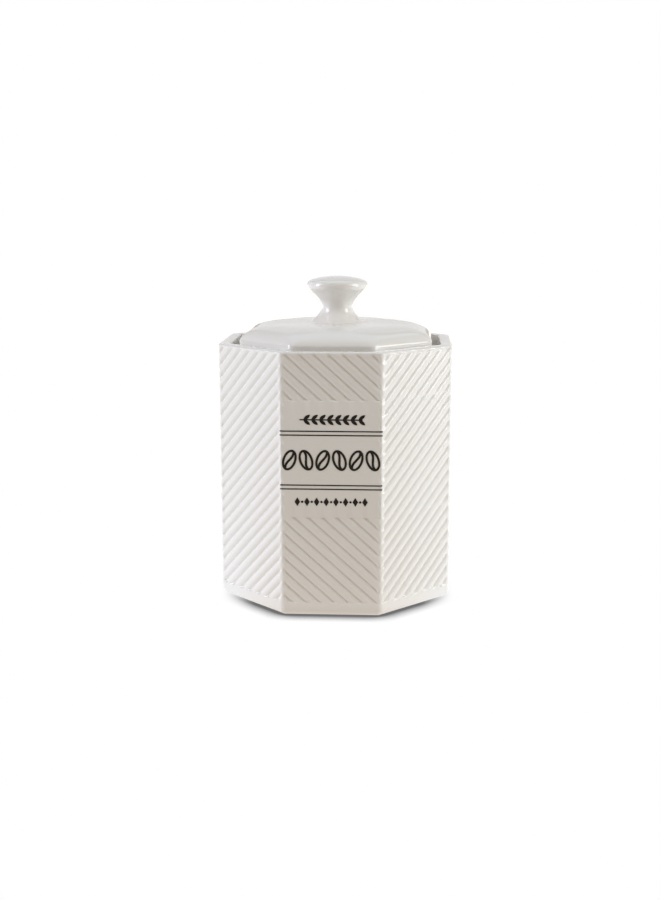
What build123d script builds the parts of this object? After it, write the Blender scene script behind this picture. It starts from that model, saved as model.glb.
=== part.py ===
"""Octagonal glazed ceramic storage canister with a lift-off lid.

Millimetres, +Z up. The origin is the centre of the foot, on the plane that the canister stands on.
The label panel faces -Y. Panels are counted from the front one, each turned 45 degrees from the last.
"""
import os
from math import acos, asin, atan, cos, degrees, hypot, radians, sin, tan

from build123d import *

os.makedirs("parts", exist_ok=True)

# ---- Driving dimensions -------------------------------------------------------------------------
across_flats = 115.4        # octagon, flat to opposite flat
rim_height = 128.4          # foot plane to the top of the rim
rim_wall = 5.8
corner_radius = 4.2         # vertical corners beside the ribs
label_corner_radius = 1.2   # vertical corners beside the plain label field, which are crisper
foot_radius = 4.0           # rounding where the sides meet the foot
rim_radius = 1.2

# Diagonal ribs pressed into every panel.
panel_count = 8
ribs_per_side = 7
rib_rise = 6.2              # vertical distance from one groove to the next
rib_depth = 0.8             # crest to groove bottom
crest_drop = 0.1            # crest below the plain face
groove_radius = 0.4
groove_height = 2.1         # height of one groove on the panel's centre line
rib_margin = 1.9            # plain edge left beside each vertical corner
foot_band = 6.8             # plain band above the foot
rim_band = 0.9              # plain band under the rim

# Plain label field on the front panel.
label_low = 49.8
label_high = 105.1
label_wrap = 2.0            # how far back the crisp corners reach

# Inside of the body.
side_wall = 5.4
floor_height = 7.0
cavity_corner = 12.0
ledge_drop = 6.0            # rim to the ledge that carries the lid
neck_radius = 42.0
neck_depth = 5.6            # thickness of the ledge round the neck
shoulder_rise = 8.6         # height over which the cavity closes in to the neck
shoulder_slope = 45.0       # degrees
foot_ring_inset = 8.2       # side face to the inner edge of the foot ring
foot_recess_depth = 1.6

# Lid.
lid_flats = 95.3
lid_corner = 5.0
lid_edge_rise = 1.3         # the lid's upright edge stands this far above the rim
crown_rise = 7.75           # edge to the top of the crown
crown_power = 5.7           # larger is flatter on top
crown_fullness = 0.7        # smaller is steeper above the edge
crown_rounding = 0.75       # smaller rounds the crown's corners closer to the edge
crown_steps = 12
crown_wall = 4.6
seat_roundness = 0.98       # outline of the crown at the knob's seat: 1 would be a circle
spigot_radius = 40.0
spigot_wall = 4.0
spigot_depth = 12.4
seal_offset = 3.4           # spigot's lower end to the seal's seat
seal_height = 4.6
seal_seat_depth = 1.6
seal_clearance = 0.2        # seal lips to neck
drain_radius = 4.0          # drain hole of the hollow-cast knob

# Knob: radii, and heights above the rim.
knob_base_radius = 15.2
knob_neck = ((9.8, 12.6), (7.65, 16.3), (9.0, 20.0))
knob_under_head = (14.5, 25.3)
knob_widest = (15.25, 27.2)
knob_over_head = (14.1, 29.4)
knob_top_rise = 31.8
knob_core_depth = 13.0

# Fired print on the label field.
print_thickness = 0.12
rule_thickness = 0.55
rule_half_length = 24.3
rule_heights = (63.2, 65.1, 89.2, 91.1)
mark_stroke = 1.1
bean_count = 6
bean_row_height = 77.2
bean_pitch = 7.9
bean_length = 10.4
bean_width = 6.5
bean_tilt = 20.0
leaf_pairs = 8
leaf_row_height = 96.6
leaf_pitch = 3.7
leaf_length = 3.9
leaf_width = 1.6
leaf_tilt = 38.0
stem_thickness = 0.6
lozenge_count = 8
lozenge_row_height = 57.0
lozenge_pitch = 4.6
lozenge_height = 4.2
lozenge_width = 2.6
dot_radius = 0.55

# ---- Derived dimensions -------------------------------------------------------------------------
side_length = across_flats * tan(radians(180 / panel_count))
face_y = -across_flats / 2
ledge_height = rim_height - ledge_drop
neck_low = ledge_height - neck_depth
shoulder_low = neck_low - shoulder_rise
lid_edge_top = rim_height + lid_edge_rise
spigot_low = ledge_height - spigot_depth
spigot_inner = spigot_radius - spigot_wall
seal_low = spigot_low + seal_offset
seal_seat_radius = spigot_radius - seal_seat_depth


# ---- Outlines -----------------------------------------------------------------------------------
def octagon(flats, corner):
    """Outline with its flats facing the axes and every corner rounded."""
    with BuildSketch() as outline:
        RegularPolygon(flats / 2, panel_count, major_radius=False, rotation=180 / panel_count)
        fillet(outline.vertices(), corner)
    return outline.sketch


body_outline = octagon(across_flats, corner_radius)
label_outline = octagon(across_flats, label_corner_radius)
gallery_outline = octagon(across_flats - 2 * rim_wall, corner_radius)
cavity_outline = octagon(across_flats - 2 * side_wall, cavity_corner)
foot_recess_outline = octagon(across_flats - 2 * foot_ring_inset, cavity_corner)
lid_outline = octagon(lid_flats, lid_corner)

# ---- Ribs ---------------------------------------------------------------------------------------
# Every ridge is a broad arc and every groove a small one, and the two meet tangentially.
rib_angle = atan(rib_rise * ribs_per_side / side_length)
rib_pitch = rib_rise * cos(rib_angle)
half_pitch = rib_pitch / 2
radius_sum = (half_pitch**2 + rib_depth**2) / (2 * rib_depth)
ridge_share = 1 - groove_radius / radius_sum
blend_offset = half_pitch * ridge_share
blend_depth = crest_drop + rib_depth * ridge_share
groove_bottom = crest_drop + rib_depth
blend_side = half_pitch - blend_offset
panel_diagonal = hypot(side_length, rim_height)
ridges_each_way = int(panel_diagonal / 2 / rib_pitch) + 1
middle_groove = groove_height + rib_rise * round(rim_height / 2 / rib_rise)


def rib_cutter(low, high):
    """Solid that cuts the grooves out of the front panel between two heights."""
    along_rib = (cos(rib_angle), 0, -sin(rib_angle))
    across_rib = (sin(rib_angle), 0, cos(rib_angle))
    rib_plane = Plane((0, face_y, middle_groove), x_dir=across_rib, z_dir=along_rib)
    first = -ridges_each_way * rib_pitch + blend_side
    last = ridges_each_way * rib_pitch + blend_side
    with BuildPart() as cutter:
        with BuildSketch(rib_plane):
            with BuildLine():
                for ridge in range(-ridges_each_way, ridges_each_way):
                    groove = ridge * rib_pitch
                    next_groove = groove + rib_pitch
                    ThreePointArc(
                        (groove + blend_side, -blend_depth),
                        (groove + half_pitch, -crest_drop),
                        (next_groove - blend_side, -blend_depth),
                    )
                    ThreePointArc(
                        (next_groove - blend_side, -blend_depth),
                        (next_groove, -groove_bottom),
                        (next_groove + blend_side, -blend_depth),
                    )
                Polyline(
                    (last, -blend_depth),
                    (last, groove_bottom),
                    (first, groove_bottom),
                    (first, -blend_depth),
                )
            make_face()
        extrude(amount=panel_diagonal, both=True)
        with Locations((0, face_y, (low + high) / 2)):
            Box(side_length - 2 * rib_margin, 4 * groove_bottom, high - low, mode=Mode.INTERSECT)
    return cutter.part


falling_ribs = rib_cutter(foot_band, rim_height - rim_band)
rising_ribs = mirror(falling_ribs, about=Plane.YZ, mode=Mode.PRIVATE)
front_ribs = (rib_cutter(foot_band, label_low), rib_cutter(label_high, rim_height - rim_band))

# ---- Body ---------------------------------------------------------------------------------------
with BuildPart() as canister_body:
    with BuildSketch():
        add(body_outline)
    extrude(amount=rim_height)
    fillet(canister_body.faces().sort_by(Axis.Z)[0].edges(), radius=foot_radius)
    # Label field: the same faces, with crisper corners.
    with BuildSketch(Plane.XY.offset(label_low)):
        add(label_outline)
        with Locations((0, face_y + label_wrap / 2)):
            Rectangle(across_flats, label_wrap, mode=Mode.INTERSECT)
    extrude(amount=label_high - label_low)
    # Gallery that takes the lid.
    with BuildSketch(Plane.XY.offset(ledge_height)):
        add(gallery_outline)
    extrude(amount=ledge_drop, mode=Mode.SUBTRACT)
    fillet(canister_body.faces().filter_by(Axis.Z).sort_by(Axis.Z)[-1].edges(), radius=rim_radius)
    # Cavity, shoulder and round neck.
    with BuildSketch(Plane.XY.offset(floor_height)):
        add(cavity_outline)
    extrude(amount=shoulder_low - floor_height, mode=Mode.SUBTRACT)
    with BuildSketch(Plane.XY.offset(shoulder_low)):
        add(cavity_outline)
    extrude(amount=shoulder_rise, taper=shoulder_slope, mode=Mode.SUBTRACT)
    with BuildSketch(Plane.XY.offset(shoulder_low)):
        Circle(neck_radius)
    extrude(amount=shoulder_rise + neck_depth, mode=Mode.SUBTRACT)
    # Recess inside the foot ring.
    with BuildSketch():
        add(foot_recess_outline)
    extrude(amount=foot_recess_depth, mode=Mode.SUBTRACT)
    # Ribs fall to the right on the even panels and rise to the right on the odd ones.
    add(front_ribs, mode=Mode.SUBTRACT)
    for quarter_turn in (90, 180, 270):
        add(falling_ribs, rotation=(0, 0, quarter_turn), mode=Mode.SUBTRACT)
    for odd_turn in (45, 135, 225, 315):
        add(rising_ribs, rotation=(0, 0, odd_turn), mode=Mode.SUBTRACT)
canister_body.part.label = "canister_body"


# ---- Lid ----------------------------------------------------------------------------------------
def crown_height(share):
    """Height of the crown where its outline has shrunk to this share of the lid's width."""
    return lid_edge_top + crown_rise * (1 - share**crown_power) ** crown_fullness


def crown_outline(share):
    """Crown's outline at this share of the lid's width: rounder towards the middle."""
    half_width = lid_flats / 2 * share
    edge_roundness = lid_corner / (lid_flats / 2)
    inward = ((1 - share) / (1 - seat_share)) ** crown_rounding
    roundness = edge_roundness + (seat_roundness - edge_roundness) * inward
    return octagon(2 * half_width, half_width * roundness)


seat_share = (knob_base_radius + 0.4) / (lid_flats / 2)
seat_height = crown_height(seat_share)
seat_turn = acos(seat_share ** (crown_power / 2))
hollow_edge = crown_height(spigot_inner / (lid_flats / 2)) - crown_wall
hollow_top = seat_height - crown_wall

with BuildPart() as lid:
    with BuildSketch(Plane.XY.offset(ledge_height)):
        add(lid_outline)
    extrude(amount=lid_edge_top - ledge_height)
    # Crown, from its upright edge to the flat seat of the knob.
    for step in range(crown_steps + 1):
        share = cos(seat_turn * step / crown_steps) ** (2 / crown_power)
        with BuildSketch(Plane.XY.offset(crown_height(share))):
            add(crown_outline(share))
    loft(ruled=True)
    # Spigot that enters the neck, with the seat of the seal round it.
    with BuildSketch(Plane.XY.offset(spigot_low)):
        Circle(spigot_radius)
    extrude(amount=spigot_depth)
    fillet(lid.faces().sort_by(Axis.Z)[0].edges(), radius=1.2)
    with BuildSketch(Plane.XY.offset(seal_low)):
        Circle(spigot_radius)
        Circle(seal_seat_radius, mode=Mode.SUBTRACT)
    extrude(amount=seal_height, mode=Mode.SUBTRACT)
    # Hollow underside and the drain hole under the knob.
    with BuildSketch(Plane.XZ):
        with BuildLine():
            Polyline((0, hollow_top), (0, spigot_low), (spigot_inner, spigot_low), (spigot_inner, hollow_edge))
            Spline((spigot_inner, hollow_edge), (0, hollow_top), tangents=((-1, 0.4), (-1, 0)))
        make_face()
    revolve(axis=Axis.Z, mode=Mode.SUBTRACT)
    with BuildSketch(Plane.XY.offset(hollow_top - 1)):
        Circle(drain_radius)
    extrude(amount=crown_wall + 2, mode=Mode.SUBTRACT)
lid.part.label = "lid"

# ---- Knob ---------------------------------------------------------------------------------------
# Hollow cast, luted to the crown's flat seat. Its foot flares into the crown.
knob_lip = 0.35                     # upright edge of the flared foot
knob_top = rim_height + knob_top_rise
dome_edge, dome_low = knob_over_head
dome_rise = knob_top_rise - dome_low
dome_radius = (dome_edge**2 + dome_rise**2) / (2 * dome_rise)
dome_turn = degrees(asin(dome_edge / dome_radius))


def knob_point(place):
    """Point of the knob's profile, from its radius and its rise above the rim."""
    radius, rise = place
    return (radius, rim_height + rise)


with BuildPart() as knob:
    with BuildSketch(Plane.XZ):
        with BuildLine():
            Polyline(
                (drain_radius, seat_height),
                (knob_base_radius, seat_height),
                (knob_base_radius, seat_height + knob_lip),
            )
            Spline(
                (knob_base_radius, seat_height + knob_lip),
                *[knob_point(place) for place in knob_neck],
                knob_point(knob_under_head),
                tangents=((-1, 0.1), (1, 0.6)),
            )
            ThreePointArc(knob_point(knob_under_head), knob_point(knob_widest), knob_point(knob_over_head))
            CenterArc((0, knob_top - dome_radius), dome_radius, 90 - dome_turn, dome_turn)
            Polyline(
                (0, knob_top),
                (0, seat_height + knob_core_depth),
                (drain_radius, seat_height + knob_core_depth - drain_radius),
                (drain_radius, seat_height),
            )
        make_face()
    revolve(axis=Axis.Z)
knob.part.label = "knob"

# ---- Seal ring ----------------------------------------------------------------------------------
# Silicone band in the spigot's seat, with two soft lips that reach towards the neck.
seal_lip_radius = neck_radius - seal_clearance
seal_end_gap = 0.1
seal_bottom = seal_low + seal_end_gap
seal_top = seal_low + seal_height - seal_end_gap
lip_height = (seal_top - seal_bottom) / 2
lip_tip = 0.35                      # radius of a lip's tip

with BuildPart() as seal_ring:
    with BuildSketch(Plane.XZ):
        with BuildLine():
            Line((seal_seat_radius, seal_bottom), (spigot_radius, seal_bottom))
            for lip_bottom in (seal_bottom, seal_bottom + lip_height):
                lip_middle = lip_bottom + lip_height / 2
                tip_low = (seal_lip_radius - lip_tip, lip_middle - lip_tip)
                tip_high = (seal_lip_radius - lip_tip, lip_middle + lip_tip)
                Line((spigot_radius, lip_bottom), tip_low)
                ThreePointArc(tip_low, (seal_lip_radius, lip_middle), tip_high)
                Line(tip_high, (spigot_radius, lip_bottom + lip_height))
            Polyline((spigot_radius, seal_top), (seal_seat_radius, seal_top), (seal_seat_radius, seal_bottom))
        make_face()
    revolve(axis=Axis.Z)
seal_ring.part.label = "seal_ring"

# ---- Label print --------------------------------------------------------------------------------
# Double rules that just turn the corners, between rows of plain ornaments.
print_outline = octagon(across_flats + 2 * print_thickness, label_corner_radius + print_thickness)

with BuildSketch() as rule:
    add(print_outline)
    add(label_outline, mode=Mode.SUBTRACT)
    with Locations((0, face_y)):
        Rectangle(2 * rule_half_length, 2 * label_wrap, mode=Mode.INTERSECT)

with BuildSketch() as bean_ring:
    Ellipse(bean_width / 2, bean_length / 2)
    Ellipse(bean_width / 2 - mark_stroke, bean_length / 2 - mark_stroke, mode=Mode.SUBTRACT)

with BuildSketch() as bean:
    with BuildLine():
        Spline(
            (0, -bean_length / 2),
            (-bean_width / 10, -bean_length / 6),
            (bean_width / 10, bean_length / 6),
            (0, bean_length / 2),
        )
    trace(line_width=mark_stroke)
    Ellipse(bean_width / 2, bean_length / 2, mode=Mode.INTERSECT)
    add(bean_ring.sketch)

with BuildSketch() as leaf:
    with BuildLine():
        ThreePointArc((0, 0), (leaf_length / 2, leaf_width / 2), (leaf_length, 0))
        ThreePointArc((leaf_length, 0), (leaf_length / 2, -leaf_width / 2), (0, 0))
    make_face()

with BuildSketch() as lozenge:
    with BuildLine():
        Polyline(
            (0, -lozenge_height / 2),
            (lozenge_width / 2, 0),
            (0, lozenge_height / 2),
            (-lozenge_width / 2, 0),
            close=True,
        )
    make_face()


def row(count, pitch):
    """Places along a centred row."""
    return [(place - (count - 1) / 2) * pitch for place in range(count)]


def label_plane(height):
    """Plane of the label field, seen from outside."""
    return Plane((0, face_y, height), x_dir=(1, 0, 0), z_dir=(0, -1, 0))


with BuildPart() as label_print:
    for rule_height in rule_heights:
        with BuildSketch(Plane.XY.offset(rule_height - rule_thickness / 2)):
            add(rule.sketch)
        extrude(amount=rule_thickness)
    # Row of beans that lean left and right by turns.
    with BuildSketch(label_plane(bean_row_height)):
        lean = bean_tilt
        for across in row(bean_count, bean_pitch):
            with Locations(Location((across, 0), -lean)):
                add(bean.sketch)
            lean = -lean
    extrude(amount=print_thickness)
    # Sprig: leaf pairs on a stem.
    with BuildSketch(label_plane(leaf_row_height)):
        Rectangle(leaf_pairs * leaf_pitch, stem_thickness)
        for across in row(leaf_pairs, leaf_pitch):
            with Locations(Location((across, 0), leaf_tilt), Location((across, 0), -leaf_tilt)):
                add(leaf.sketch)
    extrude(amount=print_thickness)
    # Lozenges with dots between them.
    with BuildSketch(label_plane(lozenge_row_height)):
        with Locations(*[(across, 0) for across in row(lozenge_count, lozenge_pitch)]):
            add(lozenge.sketch)
        with Locations(*[(across, 0) for across in row(lozenge_count - 1, lozenge_pitch)]):
            Circle(dot_radius)
    extrude(amount=print_thickness)
label_print.part.label = "label_print"

# ---- Export -------------------------------------------------------------------------------------
for piece in (canister_body, lid, knob, seal_ring, label_print):
    export_step(piece.part, f"parts/{piece.part.label}.step")
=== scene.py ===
"""Looks of an octagonal glazed ceramic canister: ribbed body, pillow lid and spool knob.

Metres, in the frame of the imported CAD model. Panels are counted from the front one (-Y), each turned
45 degrees from the last. Sizes come from the CAD boxes, and the rest are named below.
"""

import math
from collections import namedtuple

import bpy
import numpy as np
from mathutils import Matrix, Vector


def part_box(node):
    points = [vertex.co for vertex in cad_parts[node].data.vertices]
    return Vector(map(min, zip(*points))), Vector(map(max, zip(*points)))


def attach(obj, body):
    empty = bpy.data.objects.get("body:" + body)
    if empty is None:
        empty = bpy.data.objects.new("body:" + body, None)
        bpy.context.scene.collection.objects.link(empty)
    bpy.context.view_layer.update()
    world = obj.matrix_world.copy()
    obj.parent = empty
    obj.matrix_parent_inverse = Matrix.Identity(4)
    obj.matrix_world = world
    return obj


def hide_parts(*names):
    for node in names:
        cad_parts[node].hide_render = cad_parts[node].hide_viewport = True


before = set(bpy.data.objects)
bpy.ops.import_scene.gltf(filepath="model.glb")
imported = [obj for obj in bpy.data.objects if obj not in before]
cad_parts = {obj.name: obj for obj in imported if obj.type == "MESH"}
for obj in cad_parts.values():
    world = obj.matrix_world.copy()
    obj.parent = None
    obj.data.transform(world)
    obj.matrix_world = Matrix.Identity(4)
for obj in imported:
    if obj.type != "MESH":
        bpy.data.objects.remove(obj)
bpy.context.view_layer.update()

MM = 0.001

# ---- Sizes read from the frame ------------------------------------------------------------------
_, body_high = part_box("canister_body")
lid_low, lid_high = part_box("lid")
_, knob_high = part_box("knob")
seal_low, seal_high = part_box("seal_ring")

APOTHEM = body_high.x
RIM = body_high.z
LID_APOTHEM = lid_high.x
SPIGOT_LOW = lid_low.z
SEAT = lid_high.z
KNOB_TOP = knob_high.z

# ---- Body sizes ---------------------------------------------------------------------------------
# Corner sizes are radii. An apothem is the distance from the axis to a flat side.
PANELS = 8
HALF_TURN = math.pi / PANELS
SIDE_SLOPE = math.tan(HALF_TURN)
CORNER = 4.2 * MM
LABEL_CORNER = 1.2 * MM
FOOT_ROUND = 4.0 * MM
RIM_ROUND = 1.2 * MM
RIM_WALL = 5.8 * MM
LEDGE = RIM - 6.0 * MM
NECK_RADIUS = 42.0 * MM
NECK_LOW = LEDGE - 5.6 * MM
CAVITY_APOTHEM = APOTHEM - 5.4 * MM
CAVITY_CORNER = 12.0 * MM
SHOULDER_LOW = NECK_LOW - 8.6 * MM
FLOOR_HEIGHT = 7.0 * MM
FOOT_INNER = APOTHEM - 8.2 * MM
FOOT_RECESS = 1.6 * MM
SIDE_LENGTH = 2 * APOTHEM * SIDE_SLOPE
FLAT_HALF = (APOTHEM - CORNER) * SIDE_SLOPE
CORNER_HALF_ARC = CORNER * HALF_TURN

# ---- Ribs ---------------------------------------------------------------------------------------
RIB_RISE = 6.2 * MM
RIB_RUN = SIDE_LENGTH / 7
RIB_SLOPE = RIB_RISE / RIB_RUN
RIB_PITCH = RIB_RISE * math.cos(math.atan(RIB_SLOPE))
RIB_DEPTH = 0.8 * MM         # crest to groove bottom
CREST_DROP = 0.1 * MM        # crest below the plain face
GROOVE_RADIUS = 0.5 * MM
GROOVE_HEIGHT = 2.1 * MM     # height of one groove on a panel's centre line
FOOT_BAND = 6.4 * MM         # height where the ribs start
LABEL_LOW = 49.8 * MM
LABEL_HIGH = 105.1 * MM
RIB_FADE = 0.9 * MM          # length over which a groove runs out
RIM_BAND = 1.9 * MM          # depth under the rim where the grooves start to run out
CORNER_SHARE = 0.3           # part of a groove's depth that still crosses a vertical corner
RIM_SHARE = 0.15             # part of a groove's depth that reaches the rim

# A ridge is a broad arc and a groove a small one, and the two meet tangentially.
HALF_PITCH = RIB_PITCH / 2
RADIUS_SUM = (HALF_PITCH**2 + RIB_DEPTH**2) / (2 * RIB_DEPTH)
RIDGE_RADIUS = RADIUS_SUM - GROOVE_RADIUS
BLEND_SIDE = HALF_PITCH * GROOVE_RADIUS / RADIUS_SUM

# ---- Mesh density -------------------------------------------------------------------------------
LABEL_SPACING = 0.7 * MM     # between the upright columns of the label panel
PLAIN_SPACING = 1.2 * MM     # between those of the other panels
EDGE_STRIP = 2.0 * MM        # strip beside each corner with closer columns
RIB_SAMPLES = (0.0, 0.07, 0.17, 0.32, 0.5, 0.68, 0.83, 0.93)    # rows of points across one rib

# ---- Lid sizes ----------------------------------------------------------------------------------
LID_CORNER = 5.0 * MM
LID_EDGE = RIM + 1.3 * MM
CROWN_RISE = 7.75 * MM
CROWN_POWER = 5.7            # larger is flatter on top
CROWN_FULLNESS = 0.7         # smaller is steeper above the edge
CROWN_ROUNDING = 0.75        # smaller rounds the crown's corners closer to the edge
CROWN_WALL = 4.6 * MM
SPIGOT_RADIUS = 40.0 * MM
SPIGOT_INNER = 36.0 * MM
SEAL_SEAT = SPIGOT_RADIUS - 1.6 * MM
SEAL_GAP = 0.1 * MM          # end clearance of the seal in its seat
SEAT_RADIUS = 15.6 * MM
SEAT_ROUNDNESS = 0.98
DRAIN_RADIUS = 4.0 * MM


def smooth(low, high, value):
    """0 below low, 1 above high, and a smooth step between them."""
    share = min(max((value - low) / (high - low), 0.0), 1.0)
    return share * share * (3 - 2 * share)


def polar_radius(apothem, corner, turn):
    """Distance from the axis to a rounded octagon, at a turn from the nearest panel's middle."""
    corner = min(corner, apothem)
    flat_end = (apothem - corner) * SIDE_SLOPE
    if apothem * math.tan(abs(turn)) <= flat_end:
        return apothem / math.cos(turn)
    centre = (apothem - corner) / math.cos(HALF_TURN)
    off_corner = HALF_TURN - abs(turn)
    across = centre * math.sin(off_corner)
    return centre * math.cos(off_corner) + math.sqrt(max(corner**2 - across**2, 0.0))


def fillet_points(start, corner, end, steps=3):
    """Quadratic curve that rounds a profile corner, as (apothem, height, roundness) points."""
    points = []
    for step in range(steps + 1):
        t = step / steps
        points.append(tuple(
            (1 - t) ** 2 * a + 2 * t * (1 - t) * b + t * t * c for a, b, c in zip(start, corner, end)
        ))
    return points


# ---- Mesh helpers -------------------------------------------------------------------------------
class Shell:
    """Collects the rings, points and faces of one closed piece of ceramic."""

    def __init__(self):
        self.points = []
        self.grooves = []
        self.faces = []

    def add(self, point, groove=0.0):
        self.points.append(point)
        self.grooves.append(groove)
        return len(self.points) - 1

    def ring(self, turns, apothem, height, corner):
        """Level ring on a rounded octagon, with one point in each of the directions."""
        numbers = []
        for base, lean in turns:
            radius = polar_radius(apothem, corner, lean)
            turn = base + lean
            numbers.append(self.add((radius * math.sin(turn), -radius * math.cos(turn), height)))
        return numbers

    def bridge(self, lower, upper):
        """Quads between two closed rings of equal length."""
        count = len(lower)
        for i in range(count):
            j = (i + 1) % count
            self.faces.append((lower[i], lower[j], upper[j], upper[i]))

    def bridge_all(self, rings):
        """Quads between each ring and the next."""
        for lower, upper in zip(rings, rings[1:]):
            self.bridge(lower, upper)

    def cap(self, ring, height, upward):
        """Fan from a ring to the axis."""
        centre = self.add((0.0, 0.0, height))
        count = len(ring)
        for i in range(count):
            j = (i + 1) % count
            self.faces.append((ring[i], ring[j], centre) if upward else (ring[j], ring[i], centre))

    def zip_columns(self, left, left_keys, right, right_keys):
        """Triangles between two upright columns, joining points whose keys are nearly equal."""
        i = j = 0
        while i < len(left) - 1 or j < len(right) - 1:
            next_left = left_keys[i + 1] if i < len(left) - 1 else math.inf
            next_right = right_keys[j + 1] if j < len(right) - 1 else math.inf
            if next_left <= next_right:
                self.faces.append((left[i], right[j], left[i + 1]))
                i += 1
            else:
                self.faces.append((left[i], right[j], right[j + 1]))
                j += 1

    def build(self, name):
        mesh = bpy.data.meshes.new(name)
        mesh.from_pydata(self.points, [], self.faces)
        mesh.update()
        mesh.shade_smooth()
        groove = mesh.attributes.new("groove", "FLOAT", "POINT")
        groove.data.foreach_set("value", np.array(self.grooves, np.float32))
        piece = bpy.data.objects.new(name, mesh)
        bpy.context.scene.collection.objects.link(piece)
        return piece


# ---- Body ---------------------------------------------------------------------------------------
def body_columns():
    """Upright columns round the body: (panel, distance from the panel's middle along the outline)."""
    inner = FLAT_HALF - EDGE_STRIP
    strip_steps, arc_steps = 4, 6
    near_corner = [inner + (FLAT_HALF - inner) * step / strip_steps for step in range(1, strip_steps + 1)]
    arc = [FLAT_HALF + CORNER_HALF_ARC * step / arc_steps for step in range(1, arc_steps + 1)]
    right = near_corner + arc
    left = [-place for place in reversed(right[:-1])]
    columns = []
    for panel in range(PANELS):
        spacing = LABEL_SPACING if panel == 0 else PLAIN_SPACING
        count = int(inner / spacing)
        flats = [inner * step / count for step in range(-count, count + 1)]
        columns += [(panel, place) for place in left + flats + right]
    return columns


def wall_point(panel, place, inset, corner, height):
    """Point of the body's side. Place counts along the outline of the ribbed octagon."""
    side = math.copysign(1.0, place)
    reach = abs(place)
    turn = panel * 2 * HALF_TURN
    if reach <= FLAT_HALF:
        out = APOTHEM - inset
        across = place
    else:
        share = (reach - FLAT_HALF) / CORNER_HALF_ARC
        flat_half = (APOTHEM - corner) * SIDE_SLOPE
        travel = share * (flat_half - FLAT_HALF + corner * HALF_TURN)
        if travel <= flat_half - FLAT_HALF:
            out = APOTHEM - inset
            across = side * (FLAT_HALF + travel)
        else:
            lean = (travel - (flat_half - FLAT_HALF)) / corner
            out = APOTHEM - corner + (corner - inset) * math.cos(lean)
            across = side * (flat_half + (corner - inset) * math.sin(lean))
    return (
        out * math.sin(turn) + across * math.cos(turn),
        -out * math.cos(turn) + across * math.sin(turn),
        height,
    )


def rib_lean(panel):
    """1 where the ribs fall to the right, -1 where they rise."""
    return 1 if panel % 2 == 0 else -1


def rib_profile(phase):
    """Depth below the plain face, where phase counts ribs from a groove's middle."""
    across = abs(phase - round(phase)) * RIB_PITCH
    if across < BLEND_SIDE:
        return CREST_DROP + RIB_DEPTH - GROOVE_RADIUS + math.sqrt(GROOVE_RADIUS**2 - across**2)
    return CREST_DROP + RIDGE_RADIUS - math.sqrt(RIDGE_RADIUS**2 - (HALF_PITCH - across) ** 2)


def beside_label(panel, place):
    """True on the two half corners of other panels that touch the label panel."""
    return abs(place) > FLAT_HALF and (panel == 1 and place < 0 or panel == PANELS - 1 and place > 0)


def label_share(height):
    """1 inside the label field's height, 0 where the ribs are at full depth."""
    return smooth(LABEL_LOW - RIB_FADE, LABEL_LOW, height) * (
        1 - smooth(LABEL_HIGH, LABEL_HIGH + RIB_FADE, height)
    )


def rib_depth(panel, place, height):
    """Depth of the ribs at one point of the body's side."""
    phase = (height - GROOVE_HEIGHT + rib_lean(panel) * RIB_SLOPE * place) / RIB_RISE
    past_corner = smooth(FLAT_HALF - 0.9 * MM, FLAT_HALF + CORNER_HALF_ARC, abs(place))
    share = 1 - (1 - CORNER_SHARE) * past_corner
    if panel == 0:
        wrap = smooth(FLAT_HALF, FLAT_HALF + CORNER_HALF_ARC, abs(place))
        share *= 1 - label_share(height) * (1 - wrap)
    share *= smooth(FOOT_BAND, FOOT_BAND + RIB_FADE, height)
    share *= 1 - (1 - RIM_SHARE) * smooth(RIM - RIM_BAND, RIM - 0.5 * MM, height)
    return share * rib_profile(phase)


def corner_radius(panel, place, height):
    """Radius of the vertical corner: crisper beside the label."""
    labelled = label_share(height) if panel == 0 or beside_label(panel, place) else 0.0
    return CORNER + (LABEL_CORNER - CORNER) * labelled


def steps_between(low, high, count):
    """Evenly spaced heights, both ends included."""
    return [low + (high - low) * step / count for step in range(count + 1)]


def column_stretches(panel, place):
    """Stretches of one column, from the foot up: (follows the ribs, heights with both ends)."""
    shift = rib_lean(panel) * RIB_SLOPE * place

    def ribbed(low, high):
        first = int((low + shift - GROOVE_HEIGHT) / RIB_RISE) - 1
        last = int((high + shift - GROOVE_HEIGHT) / RIB_RISE) + 1
        heights = [
            GROOVE_HEIGHT + (rib + sample) * RIB_RISE - shift
            for rib in range(first, last + 1) for sample in RIB_SAMPLES
        ]
        inside = [height for height in heights if low + 0.1 * MM < height < high - 0.1 * MM]
        return True, [low, *inside, high]

    def level(low, high, count):
        return False, steps_between(low, high, count)

    label_panel = panel == 0
    level_fades = label_panel or beside_label(panel, place)
    plain_label = label_panel and abs(place) <= FLAT_HALF

    def fade(low, high):
        return level(low, high, 4) if level_fades else ribbed(low, high)

    return [
        level(FOOT_ROUND, FOOT_BAND, 2),
        level(FOOT_BAND, FOOT_BAND + RIB_FADE, 4),
        ribbed(FOOT_BAND + RIB_FADE, LABEL_LOW - RIB_FADE),
        fade(LABEL_LOW - RIB_FADE, LABEL_LOW),
        level(LABEL_LOW, LABEL_HIGH, 4) if plain_label else ribbed(LABEL_LOW, LABEL_HIGH),
        fade(LABEL_HIGH, LABEL_HIGH + RIB_FADE),
        ribbed(LABEL_HIGH + RIB_FADE, RIM - RIM_BAND),
        level(RIM - RIM_BAND, RIM - RIM_ROUND, 3),
    ]


def column_turns(columns):
    """Direction of each upright column: its panel's turn, and its turn from the panel's middle."""
    turns = []
    for panel, place in columns:
        base = panel * 2 * HALF_TURN
        x, y, _ = wall_point(panel, place, 0.0, CORNER, 0.0)
        lean = math.atan2(x, -y) - base
        turns.append((base, math.atan2(math.sin(lean), math.cos(lean))))
    return turns


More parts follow.
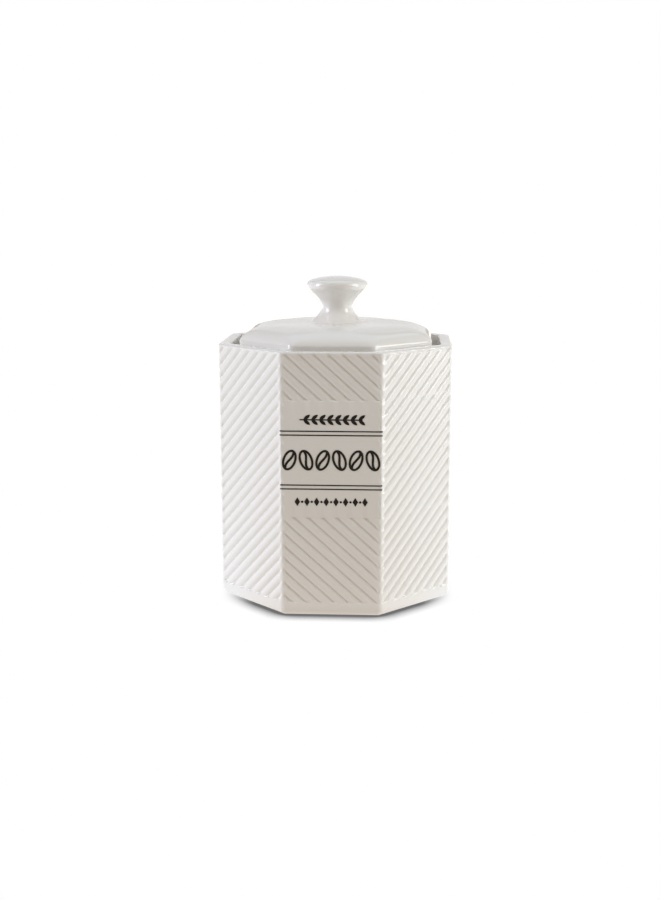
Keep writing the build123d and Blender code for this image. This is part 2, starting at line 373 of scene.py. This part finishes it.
def add_underside(shell, columns, turns):
    """Recess, foot ring and rounded lower edge. Returns the last ring, just under the side."""
    edge = 0.5 * MM
    rings = [shell.ring(turns, share * FOOT_INNER, FOOT_RECESS, CAVITY_CORNER) for share in (0.3, 0.7)]
    profile = fillet_points(
        (FOOT_INNER - 1.2 * MM, FOOT_RECESS, CAVITY_CORNER),
        (FOOT_INNER, FOOT_RECESS, CAVITY_CORNER),
        (FOOT_INNER, edge, CAVITY_CORNER),
    )
    profile += fillet_points(
        (FOOT_INNER, edge, CAVITY_CORNER),
        (FOOT_INNER, 0.0, CAVITY_CORNER),
        (FOOT_INNER + edge, 0.0, CAVITY_CORNER),
    )[1:]
    rings += [shell.ring(turns, *point) for point in profile]
    steps = 8
    for step in range(steps):
        lift = step / steps * math.pi / 2
        inset = FOOT_ROUND * (1 - math.sin(lift))
        height = FOOT_ROUND * (1 - math.cos(lift))
        rings.append([
            shell.add(wall_point(panel, place, inset, CORNER, height)) for panel, place in columns
        ])
    shell.cap(rings[0], FOOT_RECESS, upward=False)
    shell.bridge_all(rings)
    return rings[-1]


def add_ribbed_point(shell, panel, place, depth, inset, corner, height):
    """Point of the side, with its depth kept for the glaze's painted groove shade. Inset is taken off on
    top of the depth.
    """
    point = wall_point(panel, place, inset + depth, corner, height)
    return shell.add(point, depth / (RIB_DEPTH + CREST_DROP))


# Part of a column: whether it follows the ribs, its heights, how far the ribs have risen there, and
# the numbers of its points.
Stretch = namedtuple("Stretch", "ribbed heights shift numbers")


def add_column(shell, panel, place):
    """Points of one upright column. Each stretch starts with the last point of the one below."""
    shift = rib_lean(panel) * RIB_SLOPE * place
    stretches = []
    for ribbed, heights in column_stretches(panel, place):
        numbers = [stretches[-1].numbers[-1]] if stretches else []
        for height in heights[len(numbers):]:
            depth = rib_depth(panel, place, height)
            corner = corner_radius(panel, place, height)
            numbers.append(add_ribbed_point(shell, panel, place, depth, 0.0, corner, height))
        stretches.append(Stretch(ribbed, heights, shift, numbers))
    return stretches


def add_ribbed_side(shell, columns):
    """Ribbed side, zipped up column by column. Returns its lowest and its highest ring."""
    uprights = [add_column(shell, panel, place) for panel, place in columns]
    for left_column, right_column in zip(uprights, uprights[1:] + uprights[:1]):
        for left, right in zip(left_column, right_column):
            follow = left.ribbed and right.ribbed
            left_keys = [height + follow * left.shift for height in left.heights]
            right_keys = [height + follow * right.shift for height in right.heights]
            shell.zip_columns(left.numbers, left_keys, right.numbers, right_keys)
    lowest = [column[0].numbers[0] for column in uprights]
    highest = [column[-1].numbers[-1] for column in uprights]
    return lowest, highest


def add_rim_edge(shell, columns):
    """Rings over the rim's outer edge, where the last of the grooves runs out."""
    rings = []
    steps = 5
    for step in range(1, steps + 1):
        lift = step / steps * math.pi / 2
        height = RIM - RIM_ROUND * (1 - math.sin(lift))
        inset = RIM_ROUND * (1 - math.cos(lift))
        ring = []
        for panel, place in columns:
            depth = rib_depth(panel, place, height) * math.cos(lift)
            ring.append(add_ribbed_point(shell, panel, place, depth, inset, CORNER, height))
        rings.append(ring)
    return rings


def inside_profile():
    """Rim, gallery, ledge, neck, shoulder, cavity and floor, as (apothem, height, corner) points."""
    gallery = APOTHEM - RIM_WALL
    lip = 0.9 * MM
    edge = 1.0 * MM
    floor_round = 5.0 * MM
    profile = [(APOTHEM - RIM_ROUND - 0.8 * MM, RIM, CORNER)]
    profile += fillet_points(
        (gallery + lip, RIM, CORNER),
        (gallery, RIM, CORNER),
        (gallery, RIM - lip, CORNER),
        4,
    )
    profile += fillet_points(
        (gallery, LEDGE + edge, CORNER),
        (gallery, LEDGE, CORNER),
        (gallery - edge, LEDGE, CORNER),
    )
    profile += fillet_points(
        (NECK_RADIUS + edge, LEDGE, NECK_RADIUS),
        (NECK_RADIUS, LEDGE, NECK_RADIUS),
        (NECK_RADIUS, LEDGE - edge, NECK_RADIUS),
    )
    profile += fillet_points(
        (NECK_RADIUS, NECK_LOW + edge, NECK_RADIUS),
        (NECK_RADIUS, NECK_LOW, NECK_RADIUS),
        (NECK_RADIUS + 2.0 * MM, NECK_LOW - 0.3 * MM, NECK_RADIUS),
    )
    profile += fillet_points(
        (CAVITY_APOTHEM - 1.5 * MM, SHOULDER_LOW + 1.5 * MM, CAVITY_CORNER),
        (CAVITY_APOTHEM, SHOULDER_LOW, CAVITY_CORNER),
        (CAVITY_APOTHEM, SHOULDER_LOW - 2.5 * MM, CAVITY_CORNER),
    )
    profile += fillet_points(
        (CAVITY_APOTHEM, FLOOR_HEIGHT + floor_round, CAVITY_CORNER),
        (CAVITY_APOTHEM, FLOOR_HEIGHT, CAVITY_CORNER),
        (CAVITY_APOTHEM - floor_round, FLOOR_HEIGHT, CAVITY_CORNER),
        5,
    )
    profile.append((CAVITY_APOTHEM / 2, FLOOR_HEIGHT, CAVITY_CORNER))
    return profile


def make_body():
    """Whole body as one closed shell, from the middle of its underside to the middle of its floor."""
    shell = Shell()
    columns = body_columns()
    turns = column_turns(columns)
    foot_top = add_underside(shell, columns, turns)
    lowest, highest = add_ribbed_side(shell, columns)
    shell.bridge(foot_top, lowest)
    rings = [highest, *add_rim_edge(shell, columns)]
    rings += [shell.ring(turns, *point) for point in inside_profile()]
    shell.bridge_all(rings)
    shell.cap(rings[-1], FLOOR_HEIGHT, upward=True)
    return shell.build("ceramic_body")


# ---- Lid ----------------------------------------------------------------------------------------
def crown_height(share):
    """Height of the crown where its outline has shrunk to this share of the lid's width."""
    return LID_EDGE + CROWN_RISE * (1 - share**CROWN_POWER) ** CROWN_FULLNESS


def crown_corner(share):
    """Corner radius of the crown's outline: rounder towards the middle."""
    edge_roundness = LID_CORNER / LID_APOTHEM
    seat_share = SEAT_RADIUS / LID_APOTHEM
    inward = ((1 - share) / (1 - seat_share)) ** CROWN_ROUNDING
    roundness = edge_roundness + (SEAT_ROUNDNESS - edge_roundness) * inward
    return share * LID_APOTHEM * roundness


def lid_turns():
    """Directions of the lid's columns, closer together at the corners."""
    flat_half = (LID_APOTHEM - LID_CORNER) * SIDE_SLOPE
    flat_count = 11
    places = [flat_half * step / flat_count for step in range(-flat_count, flat_count + 1)]
    leans = [math.atan2(place, LID_APOTHEM) for place in places]
    corner_steps = 5
    for step in range(1, corner_steps + 1):
        lean = step / corner_steps * HALF_TURN
        out = LID_APOTHEM - LID_CORNER + LID_CORNER * math.cos(lean)
        across = flat_half + LID_CORNER * math.sin(lean)
        leans.append(math.atan2(across, out))
        if step < corner_steps:
            leans.append(-math.atan2(across, out))
    leans.sort()
    return [(panel * 2 * HALF_TURN, lean) for panel in range(PANELS) for lean in leans]


def round_fillet(start, corner, end, steps=3):
    """Rounded corner of a turned profile, where the octagon is a circle."""
    points = fillet_points((*start, 0.0), (*corner, 0.0), (*end, 0.0), steps)
    return [(radius, height, radius) for radius, height, _ in points]


def hollow_profile():
    """Drain hole and hollow underside of the lid."""
    hollow_top = SEAT - CROWN_WALL
    hollow_edge = crown_height(SPIGOT_INNER / LID_APOTHEM) - CROWN_WALL
    edge = 0.8 * MM
    profile = [(DRAIN_RADIUS, SEAT - 0.5 * MM, DRAIN_RADIUS)]
    profile += round_fillet(
        (DRAIN_RADIUS, hollow_top + edge),
        (DRAIN_RADIUS, hollow_top),
        (DRAIN_RADIUS + edge, hollow_top),
    )
    profile += round_fillet(
        (SPIGOT_INNER * 0.45, hollow_top - 0.1 * MM),
        (SPIGOT_INNER * 0.95, hollow_top - 0.4 * MM),
        (SPIGOT_INNER, hollow_edge - 1.5 * MM),
        8,
    )
    return profile


def spigot_profile():
    """Spigot with the seat of the seal, up to the lid's flange."""
    bottom_round = 1.2 * MM
    profile = round_fillet(
        (SPIGOT_INNER, SPIGOT_LOW + bottom_round),
        (SPIGOT_INNER, SPIGOT_LOW),
        (SPIGOT_INNER + bottom_round, SPIGOT_LOW),
    )
    profile += round_fillet(
        (SPIGOT_RADIUS - bottom_round, SPIGOT_LOW),
        (SPIGOT_RADIUS, SPIGOT_LOW),
        (SPIGOT_RADIUS, SPIGOT_LOW + bottom_round),
    )
    # Each corner: where it is, from which side its profile comes, and to which side it goes.
    seat_bottom = seal_low.z - SEAL_GAP
    seat_top = seal_high.z + SEAL_GAP
    up, down, outward, inward = (0, 1), (0, -1), (1, 0), (-1, 0)
    lip = 0.4 * MM
    for radius, height, come_from, go_to in (
        (SPIGOT_RADIUS, seat_bottom, down, inward),
        (SEAL_SEAT, seat_bottom, outward, up),
        (SEAL_SEAT, seat_top, down, outward),
        (SPIGOT_RADIUS, seat_top, inward, up),
        (SPIGOT_RADIUS, LEDGE, down, outward),
    ):
        start = (radius + lip * come_from[0], height + lip * come_from[1])
        end = (radius + lip * go_to[0], height + lip * go_to[1])
        profile += round_fillet(start, (radius, height), end, 2)
    return profile


def crown_profile():
    """Flange, upright edge and crown, up to the knob's seat."""
    flange_round = 1.0 * MM
    profile = fillet_points(
        (LID_APOTHEM - flange_round, LEDGE, LID_CORNER),
        (LID_APOTHEM, LEDGE, LID_CORNER),
        (LID_APOTHEM, LEDGE + flange_round, LID_CORNER),
    )
    steps = 26
    seat_turn = math.acos((SEAT_RADIUS / LID_APOTHEM) ** (CROWN_POWER / 2))
    for step in range(steps + 1):
        share = math.cos(seat_turn * step / steps) ** (2 / CROWN_POWER)
        profile.append((share * LID_APOTHEM, crown_height(share), crown_corner(share)))
    for radius in (DRAIN_RADIUS + 1.0 * MM, DRAIN_RADIUS):
        profile.append((radius, SEAT, radius))
    return profile


def make_lid():
    """Whole lid as one closed shell round its drain hole."""
    shell = Shell()
    turns = lid_turns()
    rings = [shell.ring(turns, *point) for point in hollow_profile() + spigot_profile() + crown_profile()]
    shell.bridge_all([*rings, rings[0]])
    return shell.build("ceramic_lid")


# ---- Knob ---------------------------------------------------------------------------------------
def bezier(a, b, c, d, steps):
    """Points of a cubic curve, without its first one."""
    points = []
    for step in range(1, steps + 1):
        t = step / steps
        s = 1 - t
        points.append(tuple(
            s**3 * p + 3 * s * s * t * q + 3 * s * t * t * r + t**3 * v for p, q, r, v in zip(a, b, c, d)
        ))
    return points


def make_knob():
    """Spool knob. Its profile is drawn in radii and heights above the rim, in millimetres."""
    seat = (SEAT - RIM) / MM
    drain = DRAIN_RADIUS / MM
    core_top = seat + 13.0
    foot_radius = 15.2
    foot_rise = (crown_height(foot_radius * MM / LID_APOTHEM) - RIM) / MM - 0.02
    foot = (foot_radius, foot_rise)
    waist = (7.7, 16.3)
    under_head = (14.5, 25.3)
    widest = (15.25, 27.2)
    over_head = (14.1, 29.5)
    top = (0.0, (KNOB_TOP - RIM) / MM)
    profile = [(drain, core_top - drain), (drain, seat), (14.0, seat - 0.05), foot]
    for curve in (
        (foot, (13.2, foot_rise + 0.3), (7.7, 12.9), waist, 18),
        (waist, (7.7, 19.4), (11.6, 22.9), under_head, 12),
        (under_head, (14.95, 25.8), (15.25, 26.4), widest, 4),
        (widest, (15.25, 28.2), (14.9, 29.1), over_head, 6),
        (over_head, (12.1, 30.6), (7.0, top[1]), top, 10),
    ):
        profile += bezier(*curve)
    profile.pop()    # the cap below makes the point on the axis
    shell = Shell()
    segments = 96
    rings = []
    for radius, rise in profile:
        ring = []
        for segment in range(segments):
            turn = 2 * math.pi * segment / segments
            x, y = radius * MM * math.sin(turn), -radius * MM * math.cos(turn)
            ring.append(shell.add((x, y, RIM + rise * MM)))
        rings.append(ring)
    shell.cap(rings[0], RIM + core_top * MM, upward=False)
    shell.bridge_all(rings)
    shell.cap(rings[-1], KNOB_TOP, upward=True)
    return shell.build("ceramic_knob")


# ---- Materials ----------------------------------------------------------------------------------
def node_maker(tree):
    """Helper for an empty node tree: adds a node, sets it up and links its inputs."""
    tree.nodes.clear()

    def node(kind, inputs=None, **settings):
        made = tree.nodes.new(kind)
        for key, value in settings.items():
            setattr(made, key, value)
        for key, value in (inputs or {}).items():
            if isinstance(value, bpy.types.NodeSocket):
                tree.links.new(value, made.inputs[key])
            else:
                made.inputs[key].default_value = value
        return made

    return node


def new_material(name):
    """Empty node material and its helper."""
    material = bpy.data.materials.new(name)
    material.use_nodes = True
    return material, node_maker(material.node_tree)


def glaze(name, warm, white):
    """Glossy white glaze: painted shade makes it darker and warmer in the grooves, with faint clouding and
    a soft surface.
    """
    material, node = new_material(name)
    place = node("ShaderNodeTexCoord").outputs["Object"]
    groove = node("ShaderNodeAttribute", attribute_name="groove").outputs["Fac"]
    clouds = node("ShaderNodeTexNoise", {"Vector": place, "Scale": 28.0, "Detail": 3.0}).outputs["Fac"]
    specks = node("ShaderNodeTexNoise", {"Vector": place, "Scale": 900.0, "Detail": 2.0}).outputs["Fac"]
    ripple = node("ShaderNodeTexNoise", {"Vector": place, "Scale": 110.0, "Detail": 2.0}).outputs["Fac"]
    base = node("ShaderNodeMix", {"Factor": clouds, 6: white, 7: warm}, data_type="RGBA").outputs[2]
    # Painted shade: the deeper a point lies in a groove, the more of the darker warm tone it gets.
    painted_groove_shade = node("ShaderNodeMapRange", {"Value": groove, "From Min": 0.3, "To Max": 0.5}).outputs[0]
    colour = node("ShaderNodeMix", {"Factor": painted_groove_shade, 6: base, 7: warm}, data_type="RGBA").outputs[2]
    rough = node("ShaderNodeMapRange", {"Value": ripple, "To Min": 0.03, "To Max": 0.07}).outputs[0]
    fine = node("ShaderNodeBump", {"Height": specks, "Strength": 0.15, "Distance": 0.00001}).outputs[0]
    soft = node("ShaderNodeBump", {"Height": ripple, "Strength": 0.3, "Distance": 0.00004, "Normal": fine})
    glossy = node("ShaderNodeBsdfPrincipled", {
        "Base Color": colour, "Roughness": rough, "IOR": 1.5, "Normal": soft.outputs[0],
    })
    # Bare clay on the foot ring, where the glaze was wiped off.
    height = node("ShaderNodeSeparateXYZ", {"Vector": place}).outputs["Z"]
    bare = node("ShaderNodeMapRange", {
        "Value": height, "From Min": 0.0001, "From Max": 0.0003, "To Min": 1.0, "To Max": 0.0,
    }).outputs[0]
    grain = node("ShaderNodeTexNoise", {"Vector": place, "Scale": 2500.0, "Detail": 4.0}).outputs["Fac"]
    clay_colour = node("ShaderNodeMix", {
        "Factor": grain, 6: (0.72, 0.66, 0.57, 1.0), 7: (0.80, 0.75, 0.67, 1.0),
    }, data_type="RGBA").outputs[2]
    clay_bump = node("ShaderNodeBump", {"Height": grain, "Strength": 0.6, "Distance": 0.00008}).outputs[0]
    clay = node("ShaderNodeBsdfPrincipled", {
        "Base Color": clay_colour, "Roughness": 0.85, "Normal": clay_bump,
    })
    surface = node("ShaderNodeMixShader", {0: bare, 1: glossy.outputs[0], 2: clay.outputs[0]})
    node("ShaderNodeOutputMaterial", {"Surface": surface.outputs[0]})
    return material


def silicone():
    """Milky silicone with a satin, slightly dusty surface."""
    material, node = new_material("milky_silicone")
    place = node("ShaderNodeTexCoord").outputs["Object"]
    dust = node("ShaderNodeTexNoise", {"Vector": place, "Scale": 420.0, "Detail": 4.0}).outputs["Fac"]
    colour = node("ShaderNodeMix", {
        "Factor": dust, 6: (0.66, 0.66, 0.64, 1.0), 7: (0.76, 0.76, 0.73, 1.0),
    }, data_type="RGBA").outputs[2]
    rough = node("ShaderNodeMapRange", {"Value": dust, "To Min": 0.35, "To Max": 0.55}).outputs[0]
    bump = node("ShaderNodeBump", {"Height": dust, "Strength": 0.3, "Distance": 0.00004}).outputs[0]
    body = node("ShaderNodeBsdfPrincipled", {
        "Base Color": colour, "Roughness": rough, "Normal": bump, "IOR": 1.41,
    })
    node("ShaderNodeOutputMaterial", {"Surface": body.outputs[0]})
    return material


def enamel():
    """Charcoal fired print: a satin film with a faint screen grain."""
    material, node = new_material("charcoal_print")
    place = node("ShaderNodeTexCoord").outputs["Object"]
    grain = node("ShaderNodeTexNoise", {"Vector": place, "Scale": 1600.0, "Detail": 3.0}).outputs["Fac"]
    colour = node("ShaderNodeMix", {
        "Factor": grain, 6: (0.008, 0.006, 0.005, 1.0), 7: (0.018, 0.014, 0.011, 1.0),
    }, data_type="RGBA").outputs[2]
    rough = node("ShaderNodeMapRange", {"Value": grain, "To Min": 0.35, "To Max": 0.55}).outputs[0]
    bump = node("ShaderNodeBump", {"Height": grain, "Strength": 0.2, "Distance": 0.00002}).outputs[0]
    film = node("ShaderNodeBsdfPrincipled", {
        "Base Color": colour, "Roughness": rough, "Normal": bump, "Specular IOR Level": 0.3,
    })
    node("ShaderNodeOutputMaterial", {"Surface": film.outputs[0]})
    return material


def paint(piece, material):
    """Gives a piece one material only."""
    piece.data.materials.clear()
    piece.data.materials.append(material)


# ---- Pieces -------------------------------------------------------------------------------------
WHITE = (0.84, 0.83, 0.81, 1.0)
WARM = (0.80, 0.78, 0.74, 1.0)

body = make_body()
paint(body, glaze("body_glaze", WARM, WHITE))
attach(body, "canister")
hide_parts("canister_body")

lid = make_lid()
paint(lid, glaze("lid_glaze", WARM, WHITE))
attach(lid, "lid")
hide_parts("lid")

knob = make_knob()
paint(knob, glaze("knob_glaze", WARM, WHITE))
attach(knob, "lid")
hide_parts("knob")

paint(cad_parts["seal_ring"], silicone())
paint(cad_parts["label_print"], enamel())

# ---- Stage --------------------------------------------------------------------------------------
CONTACT_REACH = 9 * MM
# Painted glow of the floor, which lights the canister and shows in its glaze in place of a lit floor: to
# each side, behind, just in front and further in front.
FLOOR_SIDES = (1.02, 1.04, 1.08)
FLOOR_BACK = (1.5, 1.4, 1.2)
FLOOR_NEAR = (0.80, 0.73, 0.66)
FLOOR_FAR = (0.38, 0.34, 0.28)
# Surroundings: the dim room and the paler sweep behind the canister.
ROOM = (0.285, 0.228, 0.172)
SWEEP = (0.46, 0.42, 0.37)
# Name, azimuth, elevation, distance, width, height, radiance and colour.
SOFTBOXES = (
    ("left_softbox", -79, 24, 1.3, 0.52, 0.92, 6.6, (0.82, 0.88, 1.0)),
    ("right_softbox", 78, 24, 1.3, 0.60, 1.00, 4.85, (0.92, 0.97, 1.0)),
    ("top_softbox", 180, 68, 1.3, 1.2, 1.2, 0.63, (0.56, 0.78, 1.0)),
    ("back_softbox", 180, 20, 1.5, 0.9, 0.9, 0.35, (0.85, 0.9, 1.0)),
)


def contact_shadow(node):
    """How dark the floor looks to the camera: deep under the foot's edge, and fading to the sides."""
    nearby = node("ShaderNodeAmbientOcclusion", {"Distance": CONTACT_REACH}, samples=16).outputs["AO"]
    shade = node("ShaderNodeMapRange", {
        "Value": nearby, "From Min": 0.45, "From Max": 0.97, "To Min": 0.84, "To Max": 0.0,
    }).outputs[0]
    across = node("ShaderNodeSeparateXYZ", {0: node("ShaderNodeTexCoord").outputs["Camera"]}).outputs["X"]
    outward = node("ShaderNodeMath", {0: across}, operation="ABSOLUTE").outputs[0]
    under = node("ShaderNodeMapRange", {
        "Value": outward,
        "From Min": 0.7 * APOTHEM,
        "From Max": 1.05 * APOTHEM,
        "To Min": 1.0,
        "To Max": 0.0,
    }, interpolation_type="SMOOTHSTEP").outputs[0]
    return node("ShaderNodeMath", {0: shade, 1: under}, operation="MULTIPLY").outputs[0]


def painted_floor_glow(node):
    """Painted glow of the floor for all but camera rays, standing in for its lighting: bright at the sides
    and back, dimmer in front.
    """
    place = node("ShaderNodeSeparateXYZ", {0: node("ShaderNodeNewGeometry").outputs["Position"]})
    aside = node("ShaderNodeMath", {0: place.outputs["X"]}, operation="ABSOLUTE").outputs[0]

    def wedge(side):
        """1 in the quarter of the floor towards -Y (side 1) or +Y (side -1), and 0 elsewhere."""
        along = node("ShaderNodeMath", {0: place.outputs["Y"], 1: -side}, operation="MULTIPLY").outputs[0]
        past = node("ShaderNodeMath", {0: along, 1: aside}, operation="SUBTRACT").outputs[0]
        return node("ShaderNodeMapRange", {
            "Value": past, "From Min": -0.05, "From Max": 0.05,
        }, interpolation_type="SMOOTHSTEP").outputs[0]

    def blend(factor, low, high):
        return node("ShaderNodeMix", {"Factor": factor, 6: low, 7: high}, data_type="RGBA").outputs[2]

    away = node("ShaderNodeMath", {0: place.outputs["Y"], 1: -1.0}, operation="MULTIPLY").outputs[0]
    far = node("ShaderNodeMapRange", {"Value": away, "From Min": 0.08, "From Max": 0.40}).outputs[0]
    front = blend(far, (*FLOOR_NEAR, 1.0), (*FLOOR_FAR, 1.0))
    sides_and_back = blend(wedge(-1.0), (*FLOOR_SIDES, 1.0), (*FLOOR_BACK, 1.0))
    return blend(wedge(1.0), sides_and_back, front)


def make_floor():
    """Large floor: white with a painted contact shadow to the camera, and a painted glow, in place of its
    lighting, for everything else.
    """
    half = 4.0
    corners = [(-half, -half, 0.0), (half, -half, 0.0), (half, half, 0.0), (-half, half, 0.0)]
    mesh = bpy.data.meshes.new("floor")
    mesh.from_pydata(corners, [], [(0, 1, 2, 3)])
    floor = bpy.data.objects.new("floor", mesh)
    bpy.context.scene.collection.objects.link(floor)
    material, node = new_material("pale_floor")
    open_share = node("ShaderNodeMath", {0: 1.0, 1: contact_shadow(node)}, operation="SUBTRACT").outputs[0]
    seen = node("ShaderNodeEmission", {"Color": (1.0, 1.0, 1.0, 1.0), "Strength": open_share})
    # Painted light: for every ray but the camera's the floor glows, brighter at the sides and back, and
    # lights the canister.
    lit = node("ShaderNodeEmission", {"Color": painted_floor_glow(node), "Strength": 1.0})
    path = node("ShaderNodeLightPath").outputs["Is Camera Ray"]
    both = node("ShaderNodeMixShader", {0: path, 1: lit.outputs[0], 2: seen.outputs[0]})
    node("ShaderNodeOutputMaterial", {"Surface": both.outputs[0]})
    mesh.materials.append(material)


def make_softbox(name, azimuth, elevation, distance, width, height, radiance, colour):
    """Rectangular area light that looks at the canister. Azimuth 0 is the camera's side."""
    light = bpy.data.lights.new(name, "AREA")
    light.shape = "RECTANGLE"
    light.size = width
    light.size_y = height
    light.color = colour
    light.energy = 4 * radiance * width * height
    lamp = bpy.data.objects.new(name, light)
    turn, lift = math.radians(azimuth), math.radians(elevation)
    away = Vector((math.sin(turn) * math.cos(lift), -math.cos(turn) * math.cos(lift), math.sin(lift)))
    lamp.location = Vector((0.0, 0.0, RIM / 2)) + away * distance
    lamp.rotation_mode = "QUATERNION"
    lamp.rotation_quaternion = away.to_track_quat("Z", "Y")
    bpy.context.scene.collection.objects.link(lamp)


def make_world(room, sweep):
    """Surroundings: white to the camera. The glaze sees a dim warm room and a paler sweep behind."""
    world = bpy.data.worlds.new("studio")
    bpy.context.scene.world = world
    world.use_nodes = True
    node = node_maker(world.node_tree)
    towards = node("ShaderNodeSeparateXYZ", {0: node("ShaderNodeTexCoord").outputs["Generated"]})
    behind = node("ShaderNodeMapRange", {
        "Value": towards.outputs["Y"], "From Min": 0.1, "From Max": 0.6,
    }, interpolation_type="SMOOTHSTEP").outputs[0]
    low = node("ShaderNodeMapRange", {
        "Value": towards.outputs["Z"], "From Min": 0.15, "From Max": 0.45, "To Min": 1.0, "To Max": 0.0,
    }, interpolation_type="SMOOTHSTEP").outputs[0]
    on_sweep = node("ShaderNodeMath", {0: behind, 1: low}, operation="MULTIPLY").outputs[0]
    colour = node("ShaderNodeMix", {
        "Factor": on_sweep, 6: (*room, 1.0), 7: (*sweep, 1.0),
    }, data_type="RGBA").outputs[2]
    lit = node("ShaderNodeBackground", {"Color": colour})
    seen = node("ShaderNodeBackground", {"Color": (1.0, 1.0, 1.0, 1.0)})
    path = node("ShaderNodeLightPath").outputs["Is Camera Ray"]
    both = node("ShaderNodeMixShader", {0: path, 1: lit.outputs[0], 2: seen.outputs[0]})
    node("ShaderNodeOutputWorld", {"Surface": both.outputs[0]})


make_floor()
for box in SOFTBOXES:
    make_softbox(*box)
make_world(ROOM, SWEEP)


# ---- Camera -------------------------------------------------------------------------------------
def make_camera():
    """Product view: almost square on to the label panel and a little above it."""
    distance = 0.6294
    height = 0.1967
    yaw = math.radians(2.92)
    tilt = math.radians(11.32)
    data = bpy.data.cameras.new("camera")
    data.sensor_width = 36.0
    data.lens = 49.52
    data.shift_x = -0.0081
    camera = bpy.data.objects.new("camera", data)
    camera.location = (distance * math.sin(yaw), -distance * math.cos(yaw), height)
    camera.rotation_euler = (math.pi / 2 - tilt, 0.0, yaw)
    bpy.context.scene.collection.objects.link(camera)
    bpy.context.scene.camera = camera


make_camera()
bpy.context.scene.view_settings.view_transform = "Standard"
